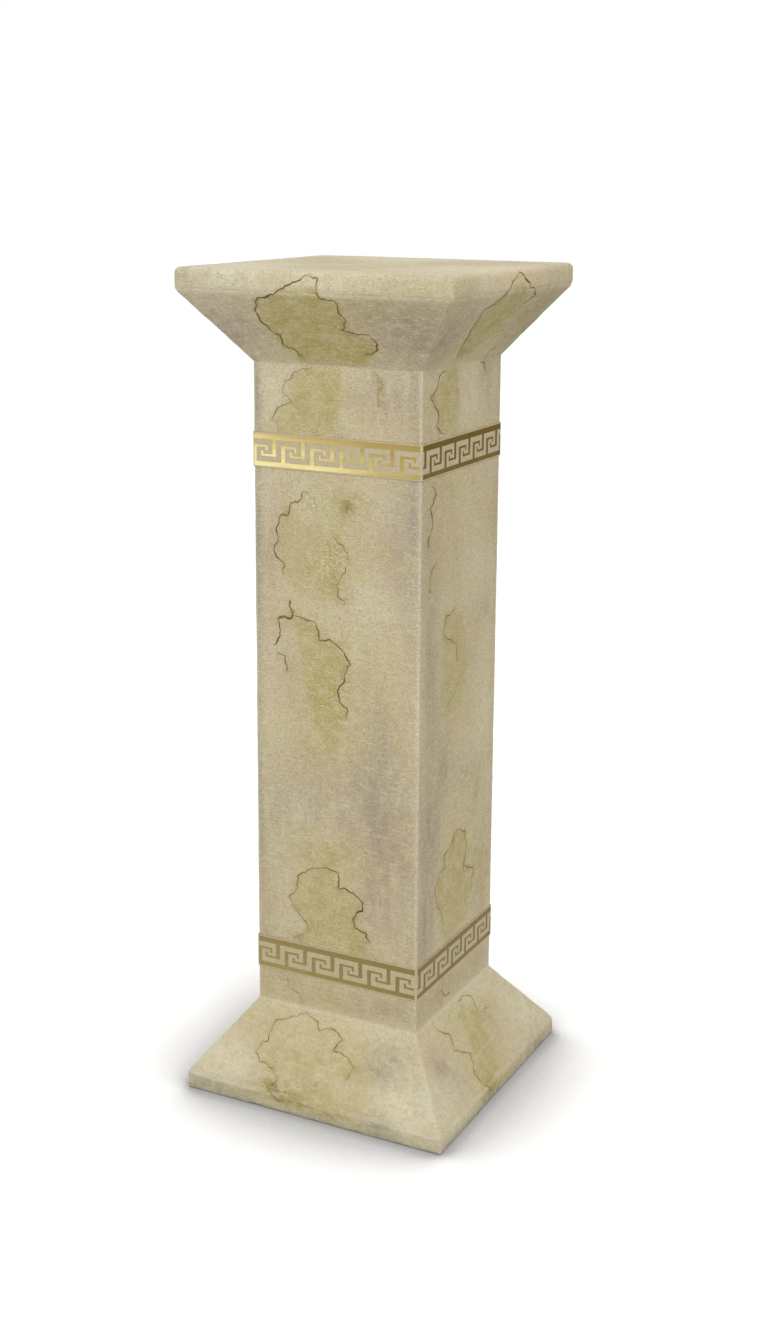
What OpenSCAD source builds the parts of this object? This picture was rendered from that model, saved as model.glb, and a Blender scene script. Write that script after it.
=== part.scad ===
// Square pedestal pillar: one casting with two thin Greek-key borders round its shaft.
// Millimetres, +Z up, origin at the middle of the foot.

/* [Overall] */
// Height from the floor to the top face
pillar_h = 800; // [650:5:1000]

/* [Shaft] */
// Width of each face of the shaft
shaft_w = 173; // [140:1:215]
// Radius of the shaft's four upright edges
shaft_edge_r = 1.5; // [0.5:0.5:4]

/* [Base] */
// Width of the square base
base_w = 277; // [225:1:340]
// Height of the flat slab at the foot
base_slab_h = 17; // [10:1:30]
// Height of the slope from the slab up to the shaft
base_slope_h = 69; // [50:1:90]

/* [Cap] */
// Width of the square cap
cap_w = 277; // [225:1:340]
// Height of the flat slab at the top
cap_slab_h = 20; // [14:1:30]
// Height of the slope from the shaft up to the slab
cap_slope_h = 67; // [50:1:90]
// Radius of the edge round the top face
cap_edge_r = 6; // [2:1:10]
// Radius of the corners of both slabs, seen from above
slab_corner_r = 6; // [2:1:12]

/* [Borders] */
// Height of each border strip
border_h = 32.5; // [30:0.5:40]
// Thickness of the strip's film
film_t = 0.4; // [0.2:0.1:1]
// Height that the gilt key stands off the film
gilt_t = 0.2; // [0.1:0.1:0.5]
// Bare film above and below the gilt key
film_margin = 1.25; // [0.5:0.25:3]
// Distance from the cap's slope down to the upper border
upper_border_drop = 64; // [20:1:120]
// Distance from the base's slope up to the lower border
lower_border_rise = 34; // [20:1:120]

/* [Greek key] */
// Height of the gilt rail along the top of the key
top_rail_h = 5.2; // [3:0.1:6]
// Height of the gilt rail along the bottom of the key
bottom_rail_h = 4.2; // [3:0.1:6]
// Shortest repeat of the key along the border
least_pitch = 30; // [28:0.5:40]
// Width of each upright and hanging bar
bar_w = 4; // [3:0.25:5]
// Space between a bar's free end and the rail that it faces
bar_clear = 5.2; // [3:0.1:7]
// Distance from an upright bar to the hanging bar after it, left edge to left edge
bar_step = 20.8; // [18:0.1:22]
// Length of a bar's hook, measured from the bar's far edge
hook_reach = 15.9; // [12:0.1:16]
// Height of the hook's thin line
line_h = 1.9; // [1:0.1:2.5]
// Width of the stub that turns back at the hook's end
stub_w = 2.1; // [1:0.1:2.5]
// Height of that stub, with the line
stub_h = 5; // [3:0.1:5]
// Distance from the last upright bar of a leading face to the edge of the shaft
lead_end_gap = 21.5; // [20:0.5:26]
// Distance from the edge of the shaft to the hanging bar that starts a trailing face
edge_clear = 4; // [3:0.5:6]
// Distance from the edge of the shaft to the first upright bar of a trailing face
trail_start_gap = 15; // [14:0.5:20]

/* [Hidden] */
$fn = 48;
base_top_z = base_slab_h + base_slope_h;
cap_slab_z = pillar_h - cap_slab_h;
cap_slope_z = cap_slab_z - cap_slope_h;
upper_border_z = cap_slope_z - upper_border_drop - border_h;
lower_border_z = base_top_z + lower_border_rise;
fret_h = border_h - 2 * film_margin;
key_h = fret_h - top_rail_h - bottom_rail_h - bar_clear;
lead_run = shaft_w - lead_end_gap;
trail_run = shaft_w - bar_w - trail_start_gap;
hook_inset = bar_step + bar_w - hook_reach;
wrap_reach = lead_end_gap - hook_inset + edge_clear + bar_w;

// The whole number of keys that a run takes at no less than the least pitch
function key_count(run) = floor(run / least_pitch);

module rounded_square(width, radius) {
    inner = width - 2 * radius;
    square([width, inner], center = true);
    square([inner, width], center = true);
    for (x = [-1, 1], y = [-1, 1])
        translate([x * inner / 2, y * inner / 2]) circle(r = radius);
}

// A solid whose outline is the same flat shape from the front and from the side
module square_turned(width) {
    intersection() {
        rotate([90, 0, 0]) linear_extrude(width, center = true) children();
        rotate([90, 0, 90]) linear_extrude(width, center = true) children();
    }
}

module base_outline() {
    polygon([
        [-base_w / 2, 0],
        [base_w / 2, 0],
        [base_w / 2, base_slab_h],
        [shaft_w / 2, base_top_z],
        [-shaft_w / 2, base_top_z],
        [-base_w / 2, base_slab_h]
    ]);
}

module cap_outline() {
    edge_z = pillar_h - cap_edge_r;
    polygon([
        [-shaft_w / 2, cap_slope_z],
        [shaft_w / 2, cap_slope_z],
        [cap_w / 2, cap_slab_z],
        [cap_w / 2, edge_z],
        [-cap_w / 2, edge_z],
        [-cap_w / 2, cap_slab_z]
    ]);
    translate([cap_edge_r - cap_w / 2, cap_slab_z]) square([cap_w - 2 * cap_edge_r, cap_slab_h]);
    for (side = [-1, 1])
        translate([side * (cap_w / 2 - cap_edge_r), edge_z]) circle(r = cap_edge_r);
}

module pillar() {
    color("#c6bb94") {
        intersection() {
            square_turned(base_w) base_outline();
            linear_extrude(base_top_z) rounded_square(base_w, slab_corner_r);
        }
        linear_extrude(pillar_h - cap_slab_h) rounded_square(shaft_w, shaft_edge_r);
        intersection() {
            square_turned(cap_w) cap_outline();
            linear_extrude(pillar_h) rounded_square(cap_w, slab_corner_r);
        }
    }
}

// One upright bar with its hook, from inside the rail below it
module key(reach = hook_reach) {
    foot = -bottom_rail_h / 2;
    polygon([
        [0, foot],
        [bar_w, foot],
        [bar_w, key_h - line_h],
        [reach - stub_w, key_h - line_h],
        [reach - stub_w, key_h - stub_h],
        [reach, key_h - stub_h],
        [reach, key_h],
        [0, key_h]
    ]);
}

module upright(at) {
    translate([at, bottom_rail_h]) key();
}

// The same key turned over; at is the left edge of its bar
module hanger(at, reach = hook_reach) {
    translate([at + bar_w, fret_h - top_rail_h]) rotate(180) key(reach);
}

// A leading face starts with an upright bar at the edge, and its last hanger is round the corner
module lead_face() {
    count = key_count(lead_run);
    pitch = lead_run / count;
    for (i = [0 : count]) upright(i * pitch);
    for (i = [0 : count - 1]) hanger(i * pitch + bar_step);
    hanger(shaft_w + edge_clear, wrap_reach);
}

// A trailing face starts with that hanger and ends with an upright bar at the far edge
module trail_face() {
    count = key_count(trail_run);
    pitch = trail_run / count;
    hanger(edge_clear, wrap_reach);
    for (i = [0 : count]) upright(trail_start_gap + i * pitch);
    for (i = [0 : count - 1]) hanger(trail_start_gap + i * pitch + bar_step);
}

// Gilding on one face, which stops where the edge of the shaft starts to round
module gilt(is_lead) {
    flat_w = shaft_w - 2 * shaft_edge_r;
    translate([-shaft_w / 2, -shaft_w / 2, film_margin])
        rotate([90, 0, 0])
            linear_extrude(film_t + gilt_t)
                intersection() {
                    translate([shaft_edge_r, 0]) square([flat_w, fret_h]);
                    union() {
                        square([shaft_w, bottom_rail_h]);
                        translate([0, fret_h - top_rail_h]) square([shaft_w, top_rail_h]);
                        if (is_lead) lead_face();
                        else trail_face();
                    }
                }
}

module border() {
    linear_extrude(border_h)
        difference() {
            rounded_square(shaft_w + 2 * film_t, shaft_edge_r + film_t);
            rounded_square(shaft_w, shaft_edge_r);
        }
    for (face = [0 : 3])
        rotate([0, 0, 90 * face]) gilt(face % 2 == 0);
}

module upper_border() {
    color("#b8994f") translate([0, 0, upper_border_z]) border();
}

module lower_border() {
    color("#8f7a3e") translate([0, 0, lower_border_z]) border();
}

pillar();
upper_border();
lower_border();
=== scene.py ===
"""Square pedestal pillar: a painted plaster casting with two gilt Greek-key borders. Metres, +Z up."""

import math

import bpy
import numpy as np
from mathutils import Matrix, Vector, kdtree, noise


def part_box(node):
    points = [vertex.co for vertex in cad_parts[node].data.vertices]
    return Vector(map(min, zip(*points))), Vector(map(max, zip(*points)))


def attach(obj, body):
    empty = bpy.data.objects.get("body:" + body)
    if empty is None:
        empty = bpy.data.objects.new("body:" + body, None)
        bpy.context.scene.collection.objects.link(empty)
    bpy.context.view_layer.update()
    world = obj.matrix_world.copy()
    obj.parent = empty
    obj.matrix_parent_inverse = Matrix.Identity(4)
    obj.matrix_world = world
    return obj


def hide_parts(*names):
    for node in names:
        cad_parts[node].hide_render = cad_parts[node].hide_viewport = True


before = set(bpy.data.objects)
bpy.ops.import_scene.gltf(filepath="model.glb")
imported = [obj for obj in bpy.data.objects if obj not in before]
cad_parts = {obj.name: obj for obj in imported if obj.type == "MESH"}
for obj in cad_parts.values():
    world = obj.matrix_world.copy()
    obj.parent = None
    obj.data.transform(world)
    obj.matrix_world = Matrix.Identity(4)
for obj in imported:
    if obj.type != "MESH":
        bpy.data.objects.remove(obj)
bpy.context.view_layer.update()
scene = bpy.context.scene
scene.view_settings.view_transform = "Standard"

# ---------------------------------------------------------------- camera
# A camera on a tripod, to the right of the pillar's front and just above its cap, looking down at
# it. The lens is long enough to keep the uprights nearly parallel, and the back is shifted a little.
tripod = Vector((0.7675, -1.4884, 0.8841))
turn_left = math.radians(26.86)
dip = math.radians(12.53)
lean = math.radians(0.41)
bpy.ops.object.camera_add()
camera = bpy.context.object
camera.name = "camera"
camera.data.lens = 47.95
camera.data.shift_x = -0.0057
camera.data.shift_y = -0.077
camera.matrix_world = (
    Matrix.Translation(tripod)
    @ Matrix.Rotation(turn_left, 4, "Z")
    @ Matrix.Rotation(math.pi / 2 - dip, 4, "X")
    @ Matrix.Rotation(lean, 4, "Z")
)
scene.camera = camera

# ---------------------------------------------------------------- studio
# A white sky all round, a broad soft lamp to the front, and a white floor that keeps a soft shadow, deepened
# by painted shadow close round the foot.
# Two flags behind the right side, one upright and one on the floor, show only in polished things.


def add_node(tree, kind, inputs=None, **settings):
    """Adds a node. Each entry of inputs is a socket and its value, or the output that feeds it."""
    made = tree.nodes.new(kind)
    for name, value in settings.items():
        setattr(made, name, value)
    for socket, value in (inputs or {}).items():
        if isinstance(value, bpy.types.NodeSocket):
            tree.links.new(value, made.inputs[socket])
        else:
            made.inputs[socket].default_value = value
    return made


def linear(hex_colour):
    """An sRGB hex colour as the linear values that a shader takes."""
    parts = [int(hex_colour[i : i + 2], 16) / 255 for i in (1, 3, 5)]
    return [c / 12.92 if c <= 0.04045 else ((c + 0.055) / 1.055) ** 2.4 for c in parts] + [1]


def seen_directly(tree):
    """1 on rays from the camera, and on what polished or clear things show; 0 on rays that light."""
    rays = add_node(tree, "ShaderNodeLightPath")
    polished = add_node(
        tree,
        "ShaderNodeMath",
        {0: rays.outputs["Is Camera Ray"], 1: rays.outputs["Is Glossy Ray"]},
        operation="MAXIMUM",
    )
    clear = add_node(
        tree,
        "ShaderNodeMath",
        {0: polished.outputs[0], 1: rays.outputs["Is Transmission Ray"]},
        operation="MAXIMUM",
    )
    return clear.outputs[0]


white = linear("#FFFFFF")
sky_light = 0.8
sky = bpy.data.worlds.new("white_sky")
scene.world = sky
sky.use_nodes = True
sky.node_tree.nodes.clear()
sky_strength = add_node(
    sky.node_tree,
    "ShaderNodeMapRange",
    {"Value": seen_directly(sky.node_tree), "To Min": sky_light, "To Max": 1.0},
)
background = add_node(
    sky.node_tree,
    "ShaderNodeBackground",
    {"Color": white, "Strength": sky_strength.outputs[0]},
)
add_node(sky.node_tree, "ShaderNodeOutputWorld", {"Surface": background.outputs[0]})

# Matt white paint. It looks whiter than it is lit, and a cool painted shadow, taken from the occlusion
# there, makes it darker and cooler close round the foot
floor_lit = 0.54
floor_seen = 1.3
shadow_reach = 0.13
shadow_depth = 2.7
shadow_limit = 0.42
shadow_cool_white = linear("#FBFDFF")
bpy.ops.mesh.primitive_plane_add(size=30)
floor = bpy.context.object
floor.name = "floor"
floor_paint = bpy.data.materials.new("white_floor")
floor_paint.use_nodes = True
tree = floor_paint.node_tree
tree.nodes.clear()
# Painted shadow: the floor's colour is darkened where the pillar shuts off the sky
painted_shadow_ao = add_node(tree, "ShaderNodeAmbientOcclusion", {"Distance": shadow_reach}, samples=8)
deepened = add_node(
    tree,
    "ShaderNodeMath",
    {0: painted_shadow_ao.outputs["AO"], 1: shadow_depth},
    operation="POWER",
)
limited = add_node(
    tree,
    "ShaderNodeMath",
    {0: deepened.outputs[0], 1: shadow_limit},
    operation="MAXIMUM",
)
shadowed_white = add_node(
    tree,
    "ShaderNodeMath",
    {0: limited.outputs[0], 1: floor_seen},
    operation="MULTIPLY",
)
shade = add_node(
    tree,
    "ShaderNodeMapRange",
    {"Value": seen_directly(tree), "To Min": floor_lit, "To Max": shadowed_white.outputs[0]},
)
shadow_tint = add_node(
    tree,
    "ShaderNodeMix",
    {0: painted_shadow_ao.outputs["AO"], 6: shadow_cool_white, 7: white},
    data_type="RGBA",
)
floor_colour = add_node(
    tree,
    "ShaderNodeVectorMath",
    {0: shadow_tint.outputs[2], "Scale": shade.outputs[0]},
    operation="SCALE",
)
matt = add_node(tree, "ShaderNodeBsdfDiffuse", {"Color": floor_colour.outputs[0]})
add_node(tree, "ShaderNodeOutputMaterial", {"Surface": matt.outputs[0]})
floor.data.materials.append(floor_paint)

lamp_place = Vector((1.25, -2.3, 2.1))
lamp_aim = Vector((0, 0, 0.4))
bpy.ops.object.light_add(type="AREA", location=lamp_place)
lamp = bpy.context.object
lamp.name = "soft_lamp"
lamp.data.shape = "SQUARE"
lamp.data.size = 2.0
lamp.data.energy = 30
lamp.rotation_euler = (lamp_aim - lamp_place).to_track_quat("-Z", "Y").to_euler()


def add_flag(name, place, turn, size, colour):
    """A plain matt card that only polished surfaces mirror: it casts no shadow and isn't seen."""
    bpy.ops.mesh.primitive_plane_add(size=1, location=place, rotation=(turn, 0, 0))
    flag = bpy.context.object
    flag.name = name
    flag.scale = (*size, 1)
    for ray in ("camera", "diffuse", "transmission", "volume_scatter", "shadow"):
        setattr(flag, "visible_" + ray, False)
    cloth = bpy.data.materials.new(name + "_cloth")
    cloth.use_nodes = True
    weave = cloth.node_tree.nodes["Principled BSDF"]
    weave.inputs["Base Color"].default_value = linear(colour)
    weave.inputs["Roughness"].default_value = 1
    flag.data.materials.append(cloth)


add_flag("standing_flag", (0.95, 0.8, 0.62), math.pi / 2, (1.8, 1.24), "#AA9C81")
add_flag("lying_flag", (0.95, 0.4, 0.002), 0, (1.7, 0.8), "#FDF7E7")

# ---------------------------------------------------------------- pillar, its casting
# Slab, slope, shaft, slope and slab are one casting of plaster, with the mould's sandy skin. Each
# level is drawn as a square with rounded corners, and the levels are bridged from the foot up.
mm = 0.001
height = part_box("pillar")[1].z
slab_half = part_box("pillar")[1].x
border_thickness = 0.6 * mm
shaft_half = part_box("upper_border")[1].x - border_thickness
base_slab_top = 17 * mm
base_top = 86 * mm
neck = height - 87 * mm
cap_slab_low = height - 20 * mm
cap_edge = 6 * mm
cap_edge_steps = 4
slab_corner = 6 * mm
foot_corner = 3.5 * mm
hip_corner = 1.4 * mm
shaft_corner = 1.5 * mm
least_corner = 0.6 * mm
corner_steps = 4
columns = 60
row_height = 3 * mm
level_slack = 0.01 * mm
profile_z = (0, base_slab_top, base_top, neck, cap_slab_low, height)
profile_half = (slab_half, slab_half, shaft_half, shaft_half, slab_half, slab_half)


def half_at(z):
    """Half the pillar's width at a height."""
    return np.interp(z, profile_z, profile_half)


def select_edges(piece, test):
    """Selects the edges whose two ends pass a test, and nothing else."""
    mesh = piece.data
    places = np.empty(3 * len(mesh.vertices))
    mesh.vertices.foreach_get("co", places)
    ends = np.empty(2 * len(mesh.edges), int)
    mesh.edges.foreach_get("vertices", ends)
    start, end = places.reshape(-1, 3)[ends.reshape(-1, 2)].swapaxes(0, 1)
    mesh.vertices.foreach_set("select", np.zeros(len(mesh.vertices), bool))
    mesh.polygons.foreach_set("select", np.zeros(len(mesh.polygons), bool))
    mesh.edges.foreach_set("select", test(start, end))


def at_height(z):
    """A test for edges that lie level at a height."""
    return lambda start, end: np.maximum(abs(start[:, 2] - z), abs(end[:, 2] - z)) < level_slack


def edit(piece, test, shape):
    """Selects edges of a piece by a test, and shapes them in edit mode."""
    select_edges(piece, test)
    bpy.ops.object.mode_set(mode="EDIT")
    shape()
    bpy.ops.object.mode_set(mode="OBJECT")


def add_level(z, half, corner):
    """One level of the casting: a square whose corners are rounded and whose sides are divided."""
    bpy.ops.mesh.primitive_plane_add(size=2 * half, location=(0, 0, z))
    bpy.ops.object.mode_set(mode="EDIT")
    bpy.ops.mesh.bevel(offset=corner, segments=corner_steps, affect="VERTICES")
    bpy.ops.mesh.select_all(action="SELECT")
    bpy.ops.mesh.delete(type="ONLY_FACE")
    bpy.ops.object.mode_set(mode="OBJECT")
    level = bpy.context.object
    edit(
        level,
        lambda start, end: np.linalg.norm(end - start, axis=1) > half,
        lambda: bpy.ops.mesh.subdivide(number_cuts=columns - 1),
    )
    return level


# Each level of the mould: its height, half its width, and the radius of its corners
levels = [
    (0.0, slab_half, foot_corner),
    (base_slab_top, slab_half, foot_corner),
    (base_slab_top + foot_corner, half_at(base_slab_top + foot_corner), hip_corner),
    (base_top, shaft_half, shaft_corner),
    (neck, shaft_half, shaft_corner),
    (cap_slab_low - slab_corner, half_at(cap_slab_low - slab_corner), hip_corner),
    (cap_slab_low, slab_half, slab_corner),
    (height - cap_edge, slab_half, slab_corner),
]
for step in range(1, cap_edge_steps + 1):
    round_over = math.radians(90 * step / cap_edge_steps)
    levels.append(
        (
            height - cap_edge * (1 - math.sin(round_over)),
            slab_half - cap_edge * (1 - math.cos(round_over)),
            max(slab_corner * math.cos(round_over), least_corner),
        )
    )

scene.tool_settings.mesh_select_mode = (False, True, False)
bpy.ops.object.select_all(action="DESELECT")
rings = [add_level(*level) for level in levels]
for ring in rings:
    ring.select_set(True)
bpy.context.view_layer.objects.active = rings[0]
bpy.ops.object.join()
pillar = bpy.context.object
pillar.name = "pillar_casting"
for (low, low_half, _), (high, high_half, _) in zip(levels, levels[1:]):
    rows = max(1, round(math.hypot(high - low, high_half - low_half) / row_height))
    edit(
        pillar,
        lambda start, end: at_height(low)(start, end) | at_height(high)(start, end),
        lambda: bpy.ops.mesh.bridge_edge_loops(number_cuts=rows - 1, interpolation="LINEAR"),
    )
edit(pillar, at_height(height), bpy.ops.mesh.fill_grid)
edit(pillar, at_height(0), bpy.ops.mesh.edge_face_add)
# Where two faces of the mould meet, the casting is a little soft
for z, soften in (
    (0.0, 1.0 * mm),
    (base_slab_top, 1.3 * mm),
    (base_top, 1.0 * mm),
    (neck, 1.0 * mm),
    (cap_slab_low, 1.3 * mm),
):
    edit(
        pillar,
        at_height(z),
        lambda: bpy.ops.mesh.bevel(offset=soften, segments=2, affect="EDGES", clamp_overlap=False),
    )
bpy.ops.object.mode_set(mode="EDIT")
bpy.ops.mesh.select_all(action="SELECT")
bpy.ops.mesh.remove_doubles(threshold=0.02 * mm)
bpy.ops.mesh.normals_make_consistent(inside=False)
bpy.ops.object.mode_set(mode="OBJECT")


def places_of(piece):
    """The places of a mesh's points, one row each."""
    places = np.empty(3 * len(piece.data.vertices))
    piece.data.vertices.foreach_get("co", places)
    return places.reshape(-1, 3)


rub_width = 1.6 * mm


def edge_nearness(places, rims):
    """1 on an upright edge, a hip or a rim at one of some heights, and 0 a few millimetres away."""
    x, y, z = places.T
    half = half_at(z)
    from_hip = half - np.minimum(abs(x), abs(y))
    from_level = np.min([abs(z - rim) for rim in rims], axis=0)
    from_side = half - np.maximum(abs(x), abs(y))
    from_rim = np.hypot(from_level, from_side)
    return np.exp(-((np.minimum(from_hip, from_rim) / rub_width) ** 2))


def roughen(piece, name, feature, depth, group=""):
    """Presses a cloudy unevenness into a piece, from nothing down to a depth."""
    clouds = bpy.data.textures.new(name, "CLOUDS")
    clouds.noise_scale = feature
    clouds.noise_depth = 2
    dents = piece.modifiers.new(name, "DISPLACE")
    dents.texture = clouds
    dents.texture_coords = "LOCAL"
    dents.strength = depth
    dents.mid_level = 1
    dents.vertex_group = group
    bpy.ops.object.modifier_apply(modifier=name)


slab_rims = (0, base_slab_top, cap_slab_low, height)
# The shaft's edges are worn less than the slabs' and the hips', which stick out and get knocked
shaft_wear = 0.4
wear_fade = 15 * mm
least_wear = 0.01
edges_group = pillar.vertex_groups.new(name="edges")
unworn_places = places_of(pillar)
wear_levels = (base_top - wear_fade, base_top, neck, neck + wear_fade)
wear = np.interp(unworn_places[:, 2], wear_levels, (1, shaft_wear, shaft_wear, 1))
wear = wear * edge_nearness(unworn_places, slab_rims)
for point in np.flatnonzero(wear > least_wear):
    edges_group.add([int(point)], wear[point], "REPLACE")
roughen(pillar, "hand_rubbed_wave", 70 * mm, 0.5 * mm)
roughen(pillar, "sponged_skin", 11 * mm, 0.4 * mm)
roughen(pillar, "worn_edges", 14 * mm, 2.2 * mm, "edges")
# The foot stands flat on the floor
foot_flat = 0.8 * mm
for point in pillar.data.vertices:
    if point.co.z < foot_flat:
        point.co.z = 0
bpy.ops.object.shade_smooth()
# The broad faces look flat right up to their soft edges
flat_faces = pillar.modifiers.new("flat_faces", "WEIGHTED_NORMAL")
flat_faces.weight = 80
bpy.ops.object.modifier_apply(modifier=flat_faces.name)

# ---------------------------------------------------------------- pillar, its paint
# A cream ground, with olive, mauve and grey glazes sponged over it while wet to look like marble.
# The same hand painted the top and all four faces; the two at the back echo the front two, quieter.
front, right, back, left, top = range(5)
echo = 0.8
# Where each painted face is used: the face, 1 as it is or -1 mirrored, and its strength there
copies = {
    front: ((front, 1, 1.0), (back, -1, echo)),
    right: ((right, 1, 1.0), (left, -1, echo)),
    top: ((top, 1, 1.0),),
}


def on_face(face, across, up):
    """A point on a face, from millimetres across from its middle and up from the foot.

    On the top, they are across and back from its middle.
    """
    if face == top:
        return Vector((across * mm, up * mm, height))
    outward = half_at(up * mm)
    return Matrix.Rotation(face * math.pi / 2, 3, "Z") @ Vector((across * mm, -outward, up * mm))


# The olive clouds that the veins go round: a weight, and the outline across and up in mm
islands = {
    front: [
        (1.0, [(6, 786), (-28, 782), (-56, 772), (-58, 750), (-45, 732), (-33, 716), (30, 716),
               (50, 734), (28, 748), (26, 768)]),
        (0.7, [(-27, 711), (-50, 698), (-46, 680), (-62, 668), (-59, 650), (-10, 650), (6, 680),
               (4, 711)]),
        (0.4, [(-29, 598), (-49, 580), (-63, 560), (-58, 530), (-50, 506), (-20, 496), (8, 496),
               (2, 512), (13, 538), (6, 551), (12, 590)]),
        (0.7, [(-45, 478), (-20, 472), (-16, 459), (8, 450), (14, 440), (3, 414), (12, 390),
               (0, 362), (-22, 372), (-34, 400), (-36, 440)]),
        (0.3, [(-66, 48), (-50, 32), (-52, 18), (-20, 8), (40, 10), (60, 30), (54, 54), (24, 48),
               (0, 56), (-40, 54)]),
        (0.65, [(-12, 236), (-42, 221), (-50, 200), (-46, 188), (-31, 172), (-42, 154), (37, 154),
                (34, 176), (21, 183), (28, 202), (17, 215), (3, 219)]),
    ],
    right: [
        (1.0, [(10, 786), (34, 776), (36, 764), (16, 740), (-4, 724), (-28, 717), (-38, 733),
               (-46, 752), (-42, 768), (-22, 780)]),
        (0.7, [(-39, 711), (-54, 698), (-68, 689), (-53, 671), (-42, 651), (-14, 651), (-8, 690),
               (-14, 711)]),
        (0.5, [(-10, 484), (-32, 481), (-40, 462), (-40, 420), (-34, 386), (4, 386), (20, 420),
               (14, 450), (6, 476)]),
        (0.65, [(7, 262), (22, 250), (20, 220), (39, 209), (36, 186), (22, 158), (-30, 158),
                (-43, 200), (-46, 218), (-28, 238), (-8, 258)]),
        (0.6, [(4, 83), (-14, 60), (-36, 24), (-20, 6), (8, 22), (26, 64)]),
    ],
}
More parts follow.
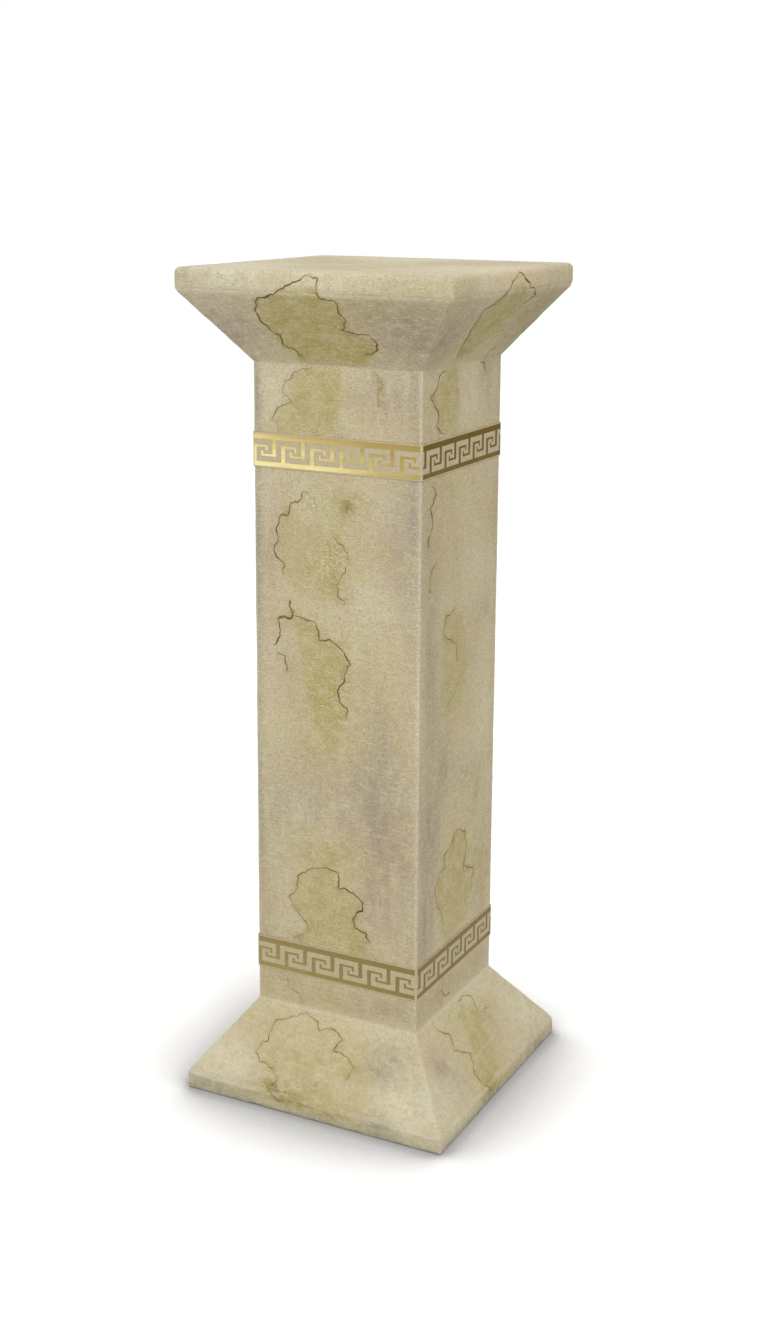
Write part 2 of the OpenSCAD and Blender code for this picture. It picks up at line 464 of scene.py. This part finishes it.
# Each dab of a glaze: its middle across and up, half its width and height in mm, and its weight
dabs = {
    "olive": {
        front: [
            (-5, 748, 40, 30, 0.35), (-12, 688, 24, 24, 0.5), (-4, 655, 24, 12, 0.4),
            (16, 590, 18, 10, 0.5), (-8, 590, 34, 16, 0.4), (-6, 530, 22, 26, 0.9),
            (-28, 424, 26, 40, 0.4), (-18, 366, 34, 30, 0.4), (0, 402, 13, 14, 0.6),
            (-14, 424, 22, 18, 0.3), (-18, 392, 12, 10, 0.5), (-4, 455, 20, 8, 0.4),
            (46, 430, 40, 50, 0.3), (-30, 470, 26, 6, 0.4), (2, 352, 34, 20, 0.35),
            (-6, 196, 30, 24, 0.3), (-10, 246, 44, 18, 0.5), (-30, 160, 18, 8, 0.6),
            (24, 158, 24, 10, 0.6), (-10, 104, 46, 14, 0.4), (-16, 50, 44, 20, 0.15),
            (-8, 30, 60, 12, 0.1), (6, 16, 40, 6, 0.6), (30, 46, 24, 14, 0.25), (-34, 18, 30, 8, 0.6),
            (46, 60, 16, 14, 0.3), (46, 22, 40, 8, 0.25), (0, 9, 60, 6, 0.3), (-76, 9, 44, 6, 0.2),
            (70, 768, 44, 12, 0.5), (84, 791, 44, 10, 0.3), (0, 250, 70, 16, 0.2),
            (-20, 60, 60, 24, 0.4), (-60, 30, 16, 20, 0.1),
        ],
        right: [
            (2, 744, 34, 30, 0.6), (-20, 685, 20, 22, 0.4), (-24, 600, 24, 14, 0.4),
            (-14, 465, 16, 20, 0.2), (-10, 400, 30, 26, 0.45), (2, 215, 26, 30, 0.4),
            (-6, 66, 20, 18, 0.4), (-16, 14, 34, 14, 0.8), (10, 8, 60, 7, 0.5), (-20, 77, 16, 10, 0.6),
            (36, 62, 16, 12, 0.4), (26, 276, 34, 24, 0.2), (64, 748, 50, 34, 0.7),
            (10, 500, 60, 110, 0.1), (16, 215, 60, 70, 0.25), (-60, 730, 40, 14, 0.3),
            (62, 205, 22, 44, 0.6), (-20, 104, 70, 14, 0.3), (44, 290, 8, 20, 0.5),
            (56, 312, 8, 16, 0.4),
        ],
        top: [
            (10, -96, 60, 20, 0.5), (-50, 10, 44, 40, 0.7), (60, 50, 40, 30, 0.6), (20, -30, 30, 40, 0.4),
        ],
    },
    "ochre": {
        front: [(-10, 400, 120, 500, 0.05)],
        right: [(0, 400, 120, 500, 0.15), (30, 790, 110, 12, 0.5)],
        top: [(60, -60, 60, 40, 0.2)],
    },
    # Cream dabs on the cap's top rim and on the base slope are paler paint, and partly painted light from
    # above
    "cream": {
        front: [
            (-85, 791, 50, 11, 1.0), (70, 791, 62, 11, 0.7), (0, 792, 50, 10, 1.0),
            (-100, 34, 34, 26, 0.7), (92, 30, 30, 26, 0.7), (0, 80, 80, 12, 0.4),
            (-50, 505, 26, 20, 0.4), (40, 500, 40, 30, 0.6), (-70, 590, 14, 40, 0.5),
            (40, 650, 30, 60, 0.3), (-70, 690, 20, 30, 0.6), (60, 440, 30, 30, 0.4),
            (14, 704, 60, 12, 0.5), (-70, 380, 20, 70, 0.3), (-24, 578, 22, 16, 0.5),
            (0, 8, 150, 8, 0.3), (50, 34, 50, 10, 0.4), (0, 32, 40, 8, 0.25), (-70, 450, 16, 60, 0.3),
            (-40, 300, 40, 30, 0.4),
        ],
        right: [
            (-60, 791, 56, 11, 1.0), (76, 793, 60, 11, 1.2), (5, 793, 40, 10, 0.9),
            (-96, 32, 40, 30, 0.7), (96, 44, 34, 30, 0.7), (0, 80, 80, 12, 0.5), (16, 690, 46, 44, 1.0),
            (62, 380, 26, 60, 0.9), (40, 520, 40, 60, 0.5), (66, 250, 18, 50, 0.4), (-60, 8, 60, 9, 0.5),
            (20, 320, 50, 40, 0.4), (0, 560, 26, 50, 0.3),
        ],
        top: [
            (-90, -90, 50, 50, 0.6), (90, -10, 40, 60, 0.5), (-30, 90, 60, 30, 0.5), (30, 10, 30, 30, 0.4),
        ],
    },
    "mauve": {
        front: [
            (-88, 746, 34, 30, 0.8), (80, 746, 40, 30, 0.8), (-120, 790, 16, 8, 0.5),
            (40, 690, 20, 26, 0.6), (66, 560, 24, 70, 0.5), (52, 262, 26, 50, 0.9),
            (48, 360, 22, 50, 0.5), (-58, 285, 30, 40, 0.3), (-62, 440, 22, 50, 0.2),
            (10, 300, 50, 34, 0.5), (44, 205, 20, 30, 0.6), (-70, 14, 30, 8, 0.4),
            (-70, 540, 16, 50, 0.4), (66, 690, 16, 24, 0.4), (80, 766, 44, 12, 0.4),
            (-20, 330, 50, 20, 0.3), (-64, 130, 30, 30, 0.3), (50, 104, 40, 14, 0.5),
        ],
        right: [
            (-84, 746, 34, 32, 0.9), (84, 748, 36, 32, 0.8), (50, 690, 16, 24, 0.5),
            (58, 708, 22, 10, 0.5), (-66, 560, 24, 70, 0.3), (-68, 470, 22, 60, 0.4),
            (-58, 370, 20, 60, 0.6), (-58, 280, 26, 50, 0.9), (-64, 190, 24, 50, 0.7),
            (50, 470, 20, 22, 0.4), (0, 104, 90, 14, 0.5), (60, 200, 24, 44, 0.5), (30, 60, 16, 16, 0.3),
            (90, 8, 60, 9, 0.9), (-78, 56, 14, 12, 0.8), (-72, 38, 22, 16, 0.6), (-10, 540, 30, 40, 0.2),
        ],
        top: [
            (-20, -70, 40, 26, 0.6), (100, 100, 50, 50, 0.6), (-100, 60, 30, 50, 0.6), (40, 20, 20, 50, 0.4),
        ],
    },
    "grey": {
        front: [
            (66, 58, 18, 20, 0.8), (72, 14, 16, 8, 0.9), (-116, 10, 26, 8, 0.7), (46, 372, 14, 40, 0.4),
            (44, 318, 24, 30, 0.4), (-84, 560, 5, 110, 0.9), (-84, 300, 5, 120, 0.7),
            (79, 590, 7, 90, 0.6), (110, 42, 16, 14, 0.2), (80, 690, 6, 30, 0.5), (-84, 690, 5, 40, 0.8),
            (-30, 296, 30, 16, 0.15), (0, 3, 150, 4, 0.5),
        ],
        right: [
            (-30, 336, 20, 26, 0.6), (20, 318, 30, 22, 0.4), (0, 3, 150, 4, 0.5),
            (-60, 250, 14, 50, 0.5), (-62, 440, 12, 60, 0.4), (-72, 180, 12, 30, 0.6),
            (-100, 785, 16, 10, 0.3),
        ],
    },
    "umber": {
        front: [
            (12, 584, 5, 8, 0.9), (16, 590, 12, 8, 0.4), (0, 520, 10, 14, 0.25), (43, 697, 5, 14, 0.7),
            (-47, 482, 5, 4, 0.9), (8, 424, 6, 14, 0.5), (12, 500, 5, 10, 0.5), (-43, 21, 16, 7, 1.0),
            (-28, 17, 18, 5, 0.9), (-10, 14, 16, 4, 0.6), (22, 12, 16, 5, 0.5), (-4, 30, 18, 5, 0.4),
            (30, 165, 8, 8, 0.4), (-40, 157, 6, 5, 0.5), (-52, 578, 5, 8, 0.4),
        ],
        right: [
            (-26, 16, 10, 9, 0.7), (-12, 6, 16, 5, 0.5), (-50, 655, 5, 6, 0.5), (-60, 588, 4, 8, 0.5),
            (40, 205, 6, 10, 0.3), (42, 774, 8, 5, 0.4),
        ],
    },
    # Where painted glints lie: white flecks where the satin lacquer would catch the light
    "painted_glint": {
        front: [
            (-26, 586, 22, 16, 1.0), (-6, 536, 20, 18, 0.9), (-78, 590, 10, 50, 0.6),
            (-78, 440, 12, 60, 0.4), (10, 470, 60, 40, 0.25), (40, 380, 60, 40, 0.25),
            (-10, 410, 30, 30, 0.3), (-90, 750, 50, 30, 0.2), (10, 704, 80, 10, 0.4),
            (82, 480, 5, 200, 0.45),
        ],
        right: [(-80, 480, 6, 200, 0.35), (20, 350, 60, 80, 0.2), (40, 200, 40, 40, 0.2)],
    },
}
island_softness = 4 * mm
corner_overlap = 1 * mm
# How far down from the top a dab on it reaches, in mm, and the most that dabs add up to
top_dab_depth = 30
heaviest = 1.2


def inside(places, face, mirror, outline):
    """1 inside an outline on one face of the pillar, and 0 outside it, with a soft edge."""
    across, outward, up = (places @ np.array(Matrix.Rotation(face * math.pi / 2, 3, "Z"))).T
    facing = -outward > abs(across) - corner_overlap
    across = mirror * across
    corners = np.array(outline) * mm
    within = np.zeros(len(places), bool)
    nearest = np.full(len(places), 1.0)
    for (x0, z0), (x1, z1) in zip(corners, np.roll(corners, -1, axis=0)):
        # A level side is never passed, whatever it is divided by
        passed = (up > z0) != (up > z1)
        within ^= passed & (across < x0 + (up - z0) * (x1 - x0) / ((z1 - z0) or 1))
        share = ((across - x0) * (x1 - x0) + (up - z0) * (z1 - z0)) / ((x1 - x0) ** 2 + (z1 - z0) ** 2)
        share = np.clip(share, 0, 1)
        gap = np.hypot(across - x0 - share * (x1 - x0), up - z0 - share * (z1 - z0))
        nearest = np.minimum(nearest, gap)
    depth = np.where(within, nearest, -nearest)
    rise = np.clip(0.5 + depth / (2 * island_softness), 0, 1)
    return facing * rise * rise * (3 - 2 * rise)


def island_weights(places):
    """How far each point lies in an olive cloud, on all four faces."""
    weights = np.zeros(len(places))
    for seen, outlines in islands.items():
        for face, mirror, share in copies[seen]:
            for weight, outline in outlines:
                weights = np.maximum(weights, share * weight * inside(places, face, mirror, outline))
    return weights


def dab_weights(places, faces):
    """How much of a glaze lies at each point, from its dabs on each face and their echoes."""
    weights = np.zeros(len(places))
    for seen, dab_list in faces.items():
        for face, mirror, share in copies[seen]:
            for across, up, wide, tall, weight in dab_list:
                middle = np.array(on_face(face, mirror * across, up))
                reach = (wide, tall, top_dab_depth) if face == top else (wide, wide, tall)
                away = (places - middle) / (np.array(reach) * mm)
                weights += share * weight * np.exp(-np.square(away).sum(axis=1))
    return np.minimum(weights, heaviest)


def store(piece, name, values):
    """Keeps one number for each point of a mesh, for its material to read."""
    kept = piece.data.attributes.new(name, "FLOAT", "POINT")
    kept.data.foreach_set("value", np.asarray(values, np.float32))


pillar_places = places_of(pillar)
for glaze, faces in dabs.items():
    store(pillar, glaze, dab_weights(pillar_places, faces))
in_island = island_weights(pillar_places)
store(pillar, "island", in_island)
# The foot of the shaft is rubbed half as much as the slabs' edges
foot_line = 0.5 * edge_nearness(pillar_places, (base_top,))
store(pillar, "edge", np.maximum(edge_nearness(pillar_places, slab_rims), foot_line))
# The base was sanded smoother than the rest, so its speckle is fainter
base_speckle = 0.55
speckle_fade = 20 * mm
speckle_levels = (base_top - speckle_fade, base_top + speckle_fade)
store(pillar, "speckle", np.interp(pillar_places[:, 2], speckle_levels, (base_speckle, 1.0)))

# Matt emulsion and oil glazes on plaster, under a satin lacquer: soft blotches, a fine sponge grain,
# and a sandy skin that breaks up the gloss. Pale plaster shows where the edges are rubbed. White
# flecks are painted glints of the lacquer.
marble_paint = bpy.data.materials.new("sponged_marble_paint")
marble_paint.use_nodes = True
tree = marble_paint.node_tree
paint = tree.nodes["Principled BSDF"]
place = add_node(tree, "ShaderNodeTexCoord").outputs["Object"]
marks = {"all": 1.0}
for mark in (*dabs, "speckle", "island", "edge", "halo"):
    marks[mark] = add_node(tree, "ShaderNodeAttribute", attribute_name=mark).outputs["Fac"]
# Each pattern: the width and height of its lumps in mm, its detail and its roughness. The real grain
# and glints are under a millimetre, and are drawn coarser so that they show.
patterns = {}
for pattern, wide, tall, detail, roughness in (
    ("broad", 55, 55, 4, 0.6),
    ("blotch", 14, 14, 4, 0.62),
    ("drips", 9, 46, 4, 0.6),
    ("sponge", 5, 5, 3, 0.6),
    ("grain", 2.6, 1.7, 2, 0.6),
    ("glint_flecks", 2.4, 1.4, 1, 0.5),
    ("fibres", 14, 3.4, 3, 0.6),
):
    lumps = (1 / (wide * mm), 1 / (wide * mm), 1 / (tall * mm))
    spread = add_node(tree, "ShaderNodeMapping", {"Vector": place, "Scale": lumps})
    patterns[pattern] = add_node(
        tree,
        "ShaderNodeTexNoise",
        {"Vector": spread.outputs[0], "Scale": 1.0, "Detail": detail, "Roughness": roughness},
    ).outputs[0]
# Each coat: the mark it keeps to, the pattern that tears it and between which values it comes in,
# how strong it is where the pattern holds it back and lets it through, and its colour
coats = (
    ("all", "broad", 0.36, 0.64, 0.0, 1.0, "#C6B791"),
    ("all", "blotch", 0.5, 0.66, 0.0, 0.34, "#CBB19E"),
    ("all", "blotch", 0.5, 0.34, 0.0, 0.4, "#C4BA82"),
    # Cream: paler paint, and partly painted light from above on the cap's top rim and the base slope
    ("cream", "blotch", 0.3, 0.66, 0.4, 0.95, "#E2DBBE"),
    ("ochre", "broad", 0.3, 0.7, 0.7, 1.3, "#E2C692"),
    ("mauve", "drips", 0.3, 0.66, 0.25, 0.95, "#AC9A86"),
    ("mauve", "blotch", 0.4, 0.64, 0.0, 0.25, "#A08A7A"),
    ("island", "blotch", 0.34, 0.62, 0.42, 0.95, "#B2A25A"),
    ("olive", "blotch", 0.34, 0.62, 0.15, 0.9, "#B0A153"),
    ("grey", "drips", 0.3, 0.62, 0.15, 0.8, "#97937F"),
    ("grey", "sponge", 0.4, 0.6, 0.0, 0.4, "#8C8878"),
    ("umber", "sponge", 0.34, 0.6, 0.1, 0.95, "#8E7A3C"),
    ("halo", "blotch", 0.34, 0.6, 0.1, 0.6, "#9A8640"),
    ("speckle", "grain", 0.5, 0.3, 0.0, 0.38, "#8C7C50"),
    ("all", "sponge", 0.42, 0.72, 0.0, 0.26, "#A59566"),
    ("all", "fibres", 0.5, 0.72, 0.0, 0.36, "#DAD2B2"),
    ("speckle", "grain", 0.56, 0.74, 0.0, 0.56, "#E6DFC4"),
    # Painted glints: white flecks standing in for the lacquer's highlights
    ("painted_glint", "glint_flecks", 0.55, 0.66, 0.0, 0.75, "#EFEAD8"),
    ("edge", "sponge", 0.38, 0.6, 0.1, 0.85, "#E8E2CC"),
)
# The coats go one after another over a cream ground
colour = linear("#D0C5A3")
for mark, pattern, low, high, least, most, tint in coats:
    torn = add_node(
        tree,
        "ShaderNodeMapRange",
        {"Value": patterns[pattern], "From Min": low, "From Max": high, "To Min": least, "To Max": most},
        interpolation_type="SMOOTHSTEP",
    )
    share = add_node(
        tree,
        "ShaderNodeMath",
        {0: torn.outputs[0], 1: marks[mark]},
        operation="MULTIPLY",
        use_clamp=True,
    )
    coat = {0: share.outputs[0], 6: colour, 7: linear(tint)}
    colour = add_node(tree, "ShaderNodeMix", coat, data_type="RGBA").outputs[2]
tree.links.new(colour, paint.inputs["Base Color"])
gloss = add_node(
    tree,
    "ShaderNodeMapRange",
    {"Value": patterns["sponge"], "From Min": 0.3, "From Max": 0.7, "To Min": 0.42, "To Max": 0.62},
)
tree.links.new(gloss.outputs[0], paint.inputs["Roughness"])
sandy = add_node(
    tree,
    "ShaderNodeMath",
    {0: patterns["sponge"], 1: 0.7, 2: patterns["grain"]},
    operation="MULTIPLY_ADD",
)
skin = add_node(
    tree,
    "ShaderNodeBump",
    {"Height": sandy.outputs[0], "Strength": 1.0, "Distance": 0.95 * mm},
)
tree.links.new(skin.outputs[0], paint.inputs["Normal"])
pillar.data.materials.append(marble_paint)
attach(pillar, "root")
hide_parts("pillar")

# ---------------------------------------------------------------- painted veins
# Thin umber lines drawn with a liner brush round the olive clouds. Each stroke is a fine cord of
# paint pressed flat on the casting, tapered at both ends and widest where the brush was leant on.

# Each stroke: its width in mm, and its route across and up in mm
veins = {
    front: [
        (1.5, [(2, 797), (-9, 791), (-28, 783), (-38, 776), (-51, 775), (-61, 763), (-59, 752),
               (-50, 743)]),
        (1.2, [(-50, 743), (-44, 740), (-46, 731), (-37, 727), (-33, 721)]),
        (1.5, [(2, 797), (10, 793), (8, 784), (12, 776), (26, 774), (24, 764), (29, 757), (21, 748)]),
        (1.3, [(21, 748), (33, 746), (47, 744), (51, 736), (47, 728), (33, 725)]),
        (1.0, [(-27, 710), (-41, 707), (-50, 698), (-55, 689), (-46, 679), (-60, 673), (-65, 663),
               (-60, 652)]),
        (1.1, [(40, 709), (48, 700), (44, 690), (43, 679)]),
        (1.2, [(-29, 597), (-35, 597), (-37, 589), (-47, 583), (-49, 574), (-60, 572), (-63, 561),
               (-59, 548)]),
        (1.2, [(-59, 548), (-66, 541), (-63, 535), (-55, 527), (-57, 517)]),
        (1.0, [(-4, 559), (7, 550), (14, 539), (8, 524), (1, 513), (3, 503), (10, 496)]),
        (1.6, [(-47, 493), (-49, 487), (-45, 480)]),
        (2.0, [(-45, 482), (-48, 477), (-62, 474)]),
        (1.5, [(-62, 474), (-59, 458), (-66, 448)]),
        (1.5, [(-45, 479), (-23, 474), (-17, 468), (-17, 458), (-4, 460), (8, 450), (15, 440), (9, 430)]),
        (1.3, [(9, 430), (9, 420), (2, 414), (5, 401), (12, 395), (12, 387)]),
        (1.2, [(-64, 442), (-54, 437), (-53, 424)]),
        (1.1, [(-12, 236), (-29, 230), (-42, 222), (-42, 209), (-51, 199), (-47, 190), (-30, 173)]),
        (1.0, [(-30, 173), (-31, 165), (-43, 160), (-47, 155)]),
        (1.4, [(-12, 236), (3, 232), (2, 219), (18, 215), (29, 209), (28, 201), (19, 191), (21, 181)]),
        (1.6, [(28, 203), (20, 191), (21, 181), (33, 177), (37, 168)]),
        (0.8, [(-54, 113), (-53, 103), (-42, 100), (-36, 89)]),
        (1.15, [(-31, 83), (-45, 76), (-61, 72), (-62, 56), (-73, 46), (-65, 39), (-47, 36), (-41, 29)]),
        (1.0, [(-41, 29), (-46, 22), (-40, 14), (-30, 10)]),
        (1.15, [(-31, 83), (-17, 77), (-12, 72), (0, 76), (14, 69), (9, 61), (25, 56), (34, 51),
                (30, 40)]),
    ],
    right: [
        (1.4, [(0, 798), (12, 795), (21, 787), (43, 778), (53, 772), (37, 766)]),
        (1.2, [(0, 796), (-15, 786), (-25, 777), (-36, 769), (-48, 766), (-44, 750), (-38, 733),
               (-28, 721)]),
        (1.0, [(53, 724), (43, 719)]),
        (1.2, [(-39, 710), (-51, 706), (-54, 697), (-69, 689), (-59, 678), (-52, 671), (-56, 660),
               (-39, 651)]),
        (1.1, [(37, 711), (47, 709), (49, 698)]),
        (1.4, [(-63, 610), (-55, 600), (-67, 588), (-60, 574), (-72, 560), (-70, 551)]),
        (1.1, [(-53, 538), (-63, 530), (-67, 512), (-60, 510)]),
        (1.0, [(-10, 484), (-32, 481), (-36, 464), (-6, 449), (-6, 433)]),
        (1.1, [(7, 262), (21, 252), (24, 240), (18, 218), (40, 210), (38, 197), (36, 186)]),
        (1.0, [(7, 262), (-4, 259), (-13, 249), (-27, 245), (-26, 231), (-39, 230), (-48, 217),
               (-43, 200)]),
        (1.0, [(-43, 200), (-34, 190), (-29, 177)]),
        (1.1, [(-23, 118), (-29, 108), (-22, 97), (-8, 95)]),
        (1.1, [(4, 83), (16, 82), (28, 79), (24, 66)]),
        (1.0, [(29, 62), (37, 63), (44, 61)]),
        (1.1, [(-53, 84), (-53, 78), (-39, 67), (-46, 56), (-25, 46), (-37, 33), (-36, 22), (-20, 9)]),
    ],
}
vein_step = 1.5 * mm
vein_wander = 2.2 * mm
slow_shake = 7 * mm
quick_shake = 3 * mm
tip_share = 0.35
taper_rate = 5
usual_pressure = 0.9
pressure_swing = 0.7
pressure_length = 9 * mm
vein_flatness = 0.2
vein_lift = 0.1 * mm
# Blender takes this noise's seed from the clock unless it is given one
noise.seed_set(2)
# Every point of every stroke, kept for the glaze that bled from it
drawn = []


def stroke_points(face, mirror, route):
    """The points along one stroke, close together, with the shake of a hand between those given."""
    corners = [on_face(face, mirror * across, up) for across, up in route]
    points = []
    for start, end in zip(corners, corners[1:]):
        pieces = max(1, round((end - start).length / vein_step))
        points += [start.lerp(end, i / pieces) for i in range(pieces)]
    points.append(corners[-1])
    shake = [noise.noise_vector(p / slow_shake) + 0.5 * noise.noise_vector(p / quick_shake) for p in points]
    return [pillar.closest_point_on_mesh(p + vein_wander * s)[1] for p, s in zip(points, shake)]


def paint_strokes(name, face, mirror, strokes):
    """The strokes on one face, as cords of paint pressed onto the casting."""
    liner = bpy.data.curves.new(name, "CURVE")
    liner.dimensions = "3D"
    # With this depth, a radius of 1 is a line 1 mm wide
    liner.bevel_depth = 0.5 * mm
    liner.bevel_resolution = 1
    liner.use_fill_caps = True
    for width, route in strokes:
        points = stroke_points(face, mirror, route)
        drawn.extend(points)
        line = liner.splines.new("POLY")
        line.points.add(len(points) - 1)
        for i, p in enumerate(points):
            along = i / (len(points) - 1)
            taper = min(1, tip_share + taper_rate * min(along, 1 - along))
            pressure = usual_pressure + pressure_swing * noise.noise(p / pressure_length)
            line.points[i].co = (*p, 1)
            line.points[i].radius = width * taper * pressure
    cords = bpy.data.objects.new(name, liner)
    scene.collection.objects.link(cords)
    bpy.ops.object.select_all(action="DESELECT")
    cords.select_set(True)
    bpy.context.view_layer.objects.active = cords
    bpy.ops.object.convert(target="MESH")
    cords = bpy.context.object
    for point in cords.data.vertices:
        _, under, outward, _ = pillar.closest_point_on_mesh(point.co)
        proud = (point.co - under).dot(outward)
        point.co = under + outward * (proud * vein_flatness + vein_lift)
    return cords


def umber_glaze(name, thick, thinned):
    """Umber oil glaze: warm brown, and thin enough in places for the cream ground to tint it."""
    made = bpy.data.materials.new(name)
    made.use_nodes = True
    tree = made.node_tree
    glaze = tree.nodes["Principled BSDF"]
    place = add_node(tree, "ShaderNodeTexCoord").outputs["Object"]
    load = {"Vector": place, "Scale": 1 / (12 * mm), "Detail": 3, "Roughness": 0.65}
    paint_left = add_node(tree, "ShaderNodeTexNoise", load)
    thin = add_node(
        tree,
        "ShaderNodeMapRange",
        {"Value": paint_left.outputs[0], "From Min": 0.4, "From Max": 0.6},
        interpolation_type="SMOOTHSTEP",
    )
    mixed = {0: thin.outputs[0], 6: linear(thick), 7: linear(thinned)}
    colour = add_node(tree, "ShaderNodeMix", mixed, data_type="RGBA")
    tree.links.new(colour.outputs[2], glaze.inputs["Base Color"])
    glaze.inputs["Roughness"].default_value = 0.7
    glaze.inputs["Specular IOR Level"].default_value = 0.25
    return made


full_brush = umber_glaze("umber_glaze", "#645018", "#88723A")
dry_brush = umber_glaze("thinned_umber_glaze", "#8A6E2A", "#B2A05C")
# A stroke at least this wide, in mm, was drawn with a full brush
full_width = 1.2
vein_pieces = []
for seen, strokes in veins.items():
    for face, mirror, _ in copies[seen]:
        for brush, chosen in (
            (full_brush, [s for s in strokes if s[0] >= full_width]),
            (dry_brush, [s for s in strokes if s[0] < full_width]),
        ):
            vein_pieces.append(paint_strokes(f"veins_{face}", face, mirror, chosen))
            vein_pieces[-1].data.materials.append(brush)
bpy.ops.object.select_all(action="DESELECT")
for piece in vein_pieces:
    piece.select_set(True)
bpy.context.view_layer.objects.active = vein_pieces[0]
bpy.ops.object.join()
painted_veins = bpy.context.object
painted_veins.name = "painted_veins"
bpy.ops.object.shade_smooth()
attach(painted_veins, "root")

# The glaze bled a few millimetres from each line, and the marble paint darkens there
halo_width = 3 * mm
halo_outside = 0.3
lines = kdtree.KDTree(len(drawn))
for i, point in enumerate(drawn):
    lines.insert(point, i)
lines.balance()
from_line = np.array([lines.find(p)[2] for p in pillar_places])
bleed = np.exp(-((from_line / halo_width) ** 2))
store(pillar, "halo", bleed * (halo_outside + (1 - halo_outside) * in_island))

# ---------------------------------------------------------------- upper border
# A strip of cream film wrapped once round the shaft, with a Greek key in bright gold foil. The key
# stands a fifth of a millimetre off the film, which is how the material tells the two apart.


def foil_border(name, node, highlight_gold, shaded_gold, film, roughness):
    """Gold foil on cream film: a satin metal with a painted highlight low down and at the left, over a dull
    ground.
    """
    low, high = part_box(node)
    made = bpy.data.materials.new(name)
    made.use_nodes = True
    tree = made.node_tree
    surface = tree.nodes["Principled BSDF"]
    place = add_node(tree, "ShaderNodeTexCoord").outputs["Object"]
    parts = add_node(tree, "ShaderNodeSeparateXYZ", {0: place})
    lumps = {}
    for lump, wide, tall, detail in (("rolled", 40, 6, 3), ("rub", 5, 5, 3), ("fleck", 2.5, 2.5, 2)):
        size = (1 / (wide * mm), 1 / (wide * mm), 1 / (tall * mm))
        spread = add_node(tree, "ShaderNodeMapping", {"Vector": place, "Scale": size})
        cloud = {"Vector": spread.outputs[0], "Scale": 1.0, "Detail": detail, "Roughness": 0.6}
        lumps[lump] = add_node(tree, "ShaderNodeTexNoise", cloud).outputs[0]
    # How far out the surface stands tells the foil from the film
    half_foil = 0.1 * mm
    sideways = add_node(tree, "ShaderNodeMath", {0: parts.outputs["X"]}, operation="ABSOLUTE")
    depthways = add_node(tree, "ShaderNodeMath", {0: parts.outputs["Y"]}, operation="ABSOLUTE")
    furthest = add_node(
        tree,
        "ShaderNodeMath",
        {0: sideways.outputs[0], 1: depthways.outputs[0]},
        operation="MAXIMUM",
    )
    foil = add_node(
        tree,
        "ShaderNodeMath",
        {0: furthest.outputs[0], 1: high.x - half_foil},
        operation="GREATER_THAN",
    ).outputs[0]
    # The painted highlight halves from the foot of the strip to its top, and falls to a third towards +X
    fades = {}
    for axis, start, end, least in (("Z", low.z + 3 * mm, high.z, 0.0), ("X", low.x, high.x, 0.3)):
        fades[axis] = add_node(
            tree,
            "ShaderNodeMapRange",
            {
                "Value": parts.outputs[axis],
                "From Min": start,
                "From Max": end,
                "To Min": 1.0,
                "To Max": least,
            },
        ).outputs[0]
    faded = add_node(
        tree,
        "ShaderNodeMath",
        {0: fades["Z"], 1: fades["X"], 2: fades["X"]},
        operation="MULTIPLY_ADD",
    )
    patches = add_node(
        tree,
        "ShaderNodeMapRange",
        {"Value": lumps["rolled"], "From Min": 0.25, "From Max": 0.75, "To Min": 0.6},
    )
    painted_highlight = add_node(
        tree,
        "ShaderNodeMath",
        {0: faded.outputs[0], 1: patches.outputs[0]},
        operation="MULTIPLY",
    )
    shine = add_node(
        tree,
        "ShaderNodeMapRange",
        {"Value": painted_highlight.outputs[0], "From Min": 0.2, "From Max": 1.5},
        interpolation_type="SMOOTHSTEP",
    )
    # The gold runs from a painted shaded colour up to a painted highlight colour
    gold = add_node(
        tree,
        "ShaderNodeMix",
        {0: shine.outputs[0], 6: linear(shaded_gold), 7: linear(highlight_gold)},
        data_type="RGBA",
    )
    # Brown dirt has settled in specks on the film
    dirt = add_node(
        tree,
        "ShaderNodeMapRange",
        {"Value": lumps["fleck"], "From Min": 0.3, "From Max": 0.7, "To Max": 0.6},
    )
    cream = add_node(
        tree,
        "ShaderNodeMix",
        {0: dirt.outputs[0], 6: linear(film), 7: linear("#A89A76")},
        data_type="RGBA",
    )
    colour = add_node(
        tree,
        "ShaderNodeMix",
        {0: foil, 6: cream.outputs[2], 7: gold.outputs[2]},
        data_type="RGBA",
    )
    tree.links.new(colour.outputs[2], surface.inputs["Base Color"])
    tree.links.new(foil, surface.inputs["Metallic"])
    satin = add_node(
        tree,
        "ShaderNodeMapRange",
        {
            "Value": lumps["rub"],
            "From Min": 0.3,
            "From Max": 0.7,
            "To Min": roughness,
            "To Max": roughness + 0.12,
        },
    )
    film_roughness = 0.6
    finish = add_node(tree, "ShaderNodeMix", {0: foil, 2: film_roughness, 3: satin.outputs[0]})
    tree.links.new(finish.outputs[0], surface.inputs["Roughness"])
    dents = add_node(
        tree,
        "ShaderNodeBump",
        {"Height": lumps["rub"], "Strength": 0.3, "Distance": 0.2 * mm},
    )
    tree.links.new(dents.outputs[0], surface.inputs["Normal"])
    return made


def dress(node, material):
    """Gives a CAD node its finish."""
    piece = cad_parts[node]
    piece.data.materials.clear()
    piece.data.materials.append(material)


bright_foil = foil_border("bright_gold_foil", "upper_border", "#EEDC9C", "#A08C50", "#CCC09C", 0.28)
dress("upper_border", bright_foil)

# ---------------------------------------------------------------- lower border
# The same strip again, near the foot, with duller and browner gold and a fainter painted highlight.
dull_foil = foil_border("dull_gold_foil", "lower_border", "#928250", "#847248", "#C8BC98", 0.36)
dress("lower_border", dull_foil)
